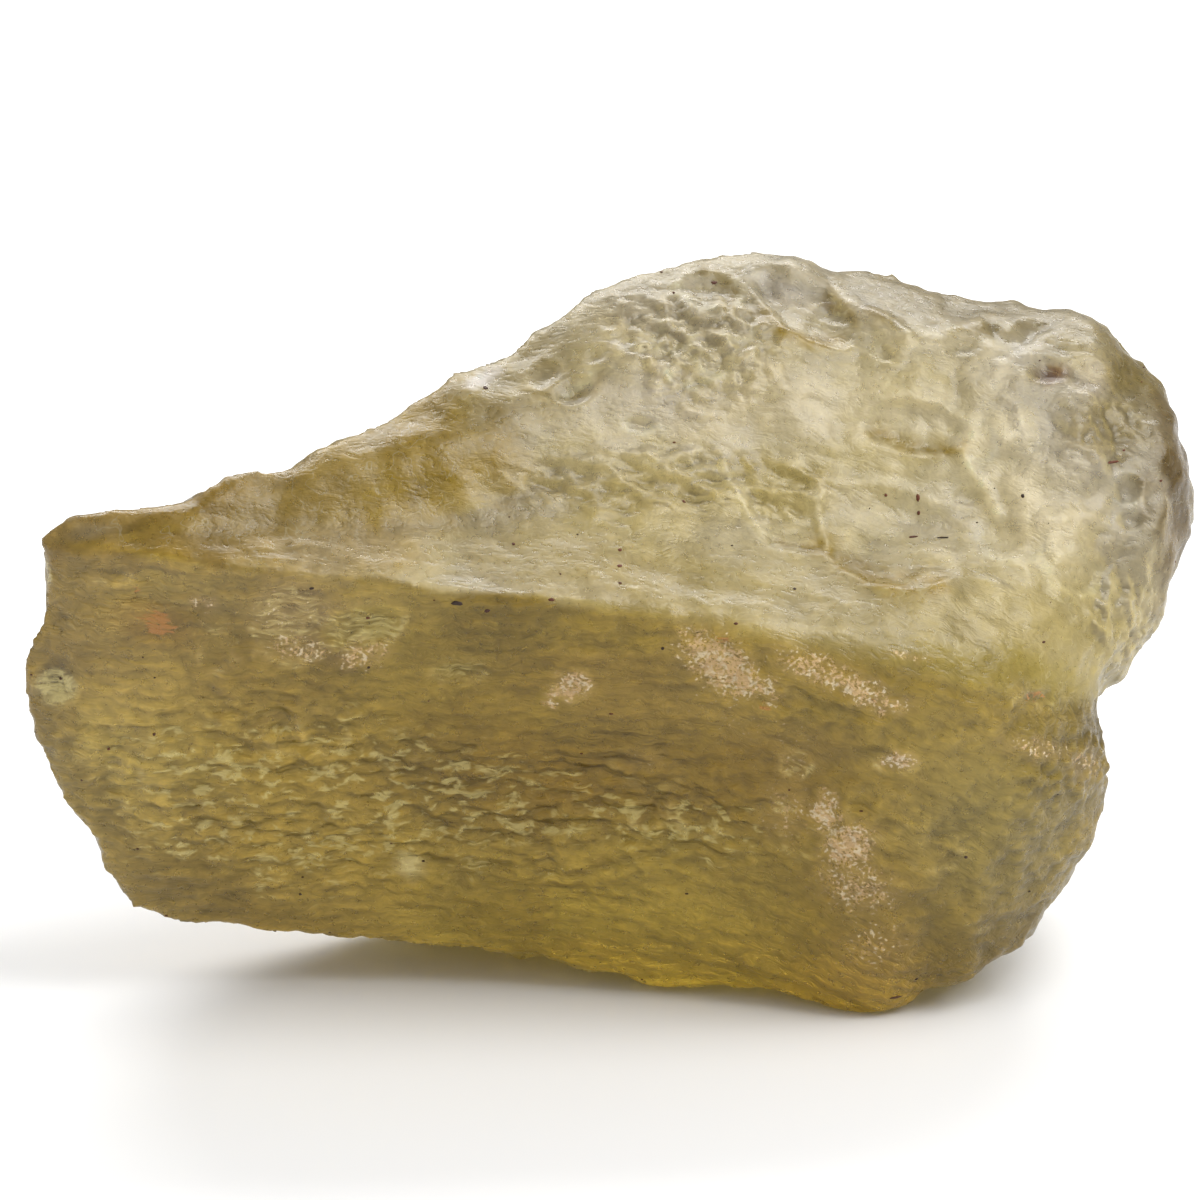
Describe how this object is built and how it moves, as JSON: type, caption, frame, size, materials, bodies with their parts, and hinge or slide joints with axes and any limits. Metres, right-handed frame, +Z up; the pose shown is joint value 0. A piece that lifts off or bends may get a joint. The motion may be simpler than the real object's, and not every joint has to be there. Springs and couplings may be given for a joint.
{
  "type": "libyan desert glass",
  "caption": "A wedge-shaped lump of milky yellow-green natural glass with a sharp crest, resting on a small flat spot.",
  "frame": {"origin": "centre of the bounding box, at the flat spot that the piece rests on", "axes": "+X along the crest to the thick end, +Y from the crest to the back, +Z up"},
  "size_m": [0.1394, 0.0648, 0.0839],
  "materials": {
    "desert_glass": "milky yellow-green natural glass, frosted and softly glossy from wind wear"
  },
  "bodies": {
    "root": {"desert_glass": "desert_glass"}
  },
  "joints": []
}
